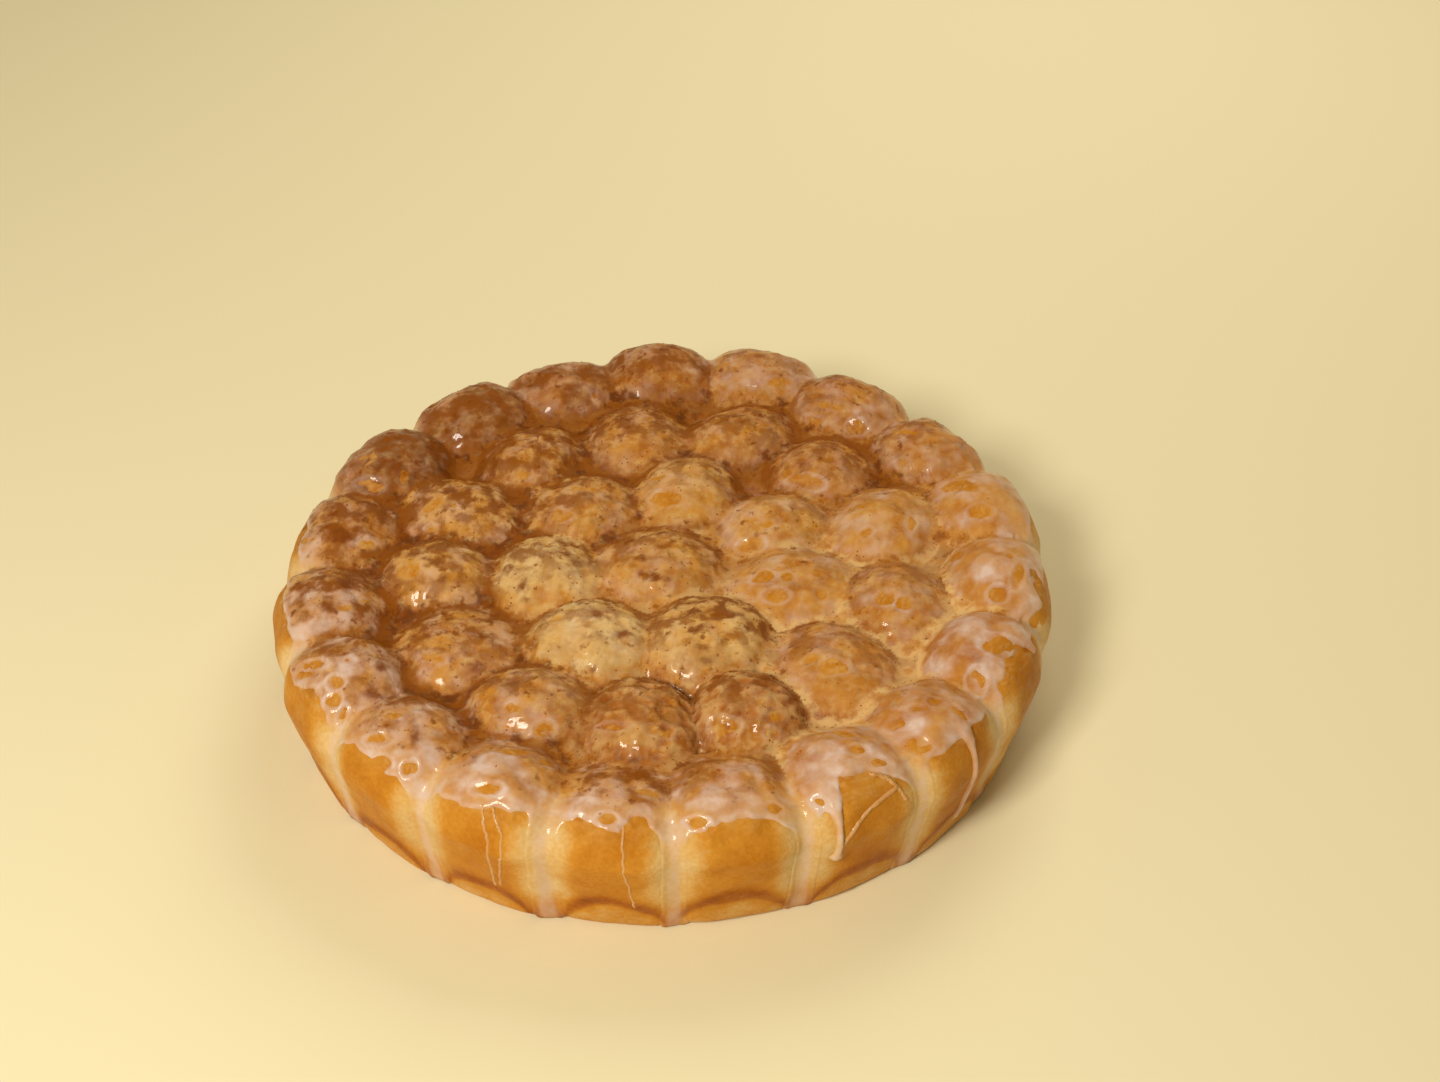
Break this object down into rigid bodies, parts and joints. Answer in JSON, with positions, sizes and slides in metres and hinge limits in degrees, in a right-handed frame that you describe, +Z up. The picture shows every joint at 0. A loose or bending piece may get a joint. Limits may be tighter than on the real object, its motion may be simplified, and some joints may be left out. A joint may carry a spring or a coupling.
{
  "type": "pull-apart bread",
  "caption": "Round loaf of small dough balls baked against each other, glazed with icing that runs down the seams of its side.",
  "frame": {"origin": "middle of the loaf's box, on the surface that its flat base rests on", "axes": "+Z up through the crowns; +X to the right and +Y to the back, as the loaf is seen in its picture"},
  "size_m": [0.254, 0.2556, 0.054],
  "materials": {
    "crust": "golden-brown baked crust, soft sheen",
    "icing": "thin wet sugar glaze, glossy and part see-through",
    "cinnamon": "ground spice, damp with glaze"
  },
  "bodies": {
    "root": {"loaf": "crust"}
  },
  "joints": []
}
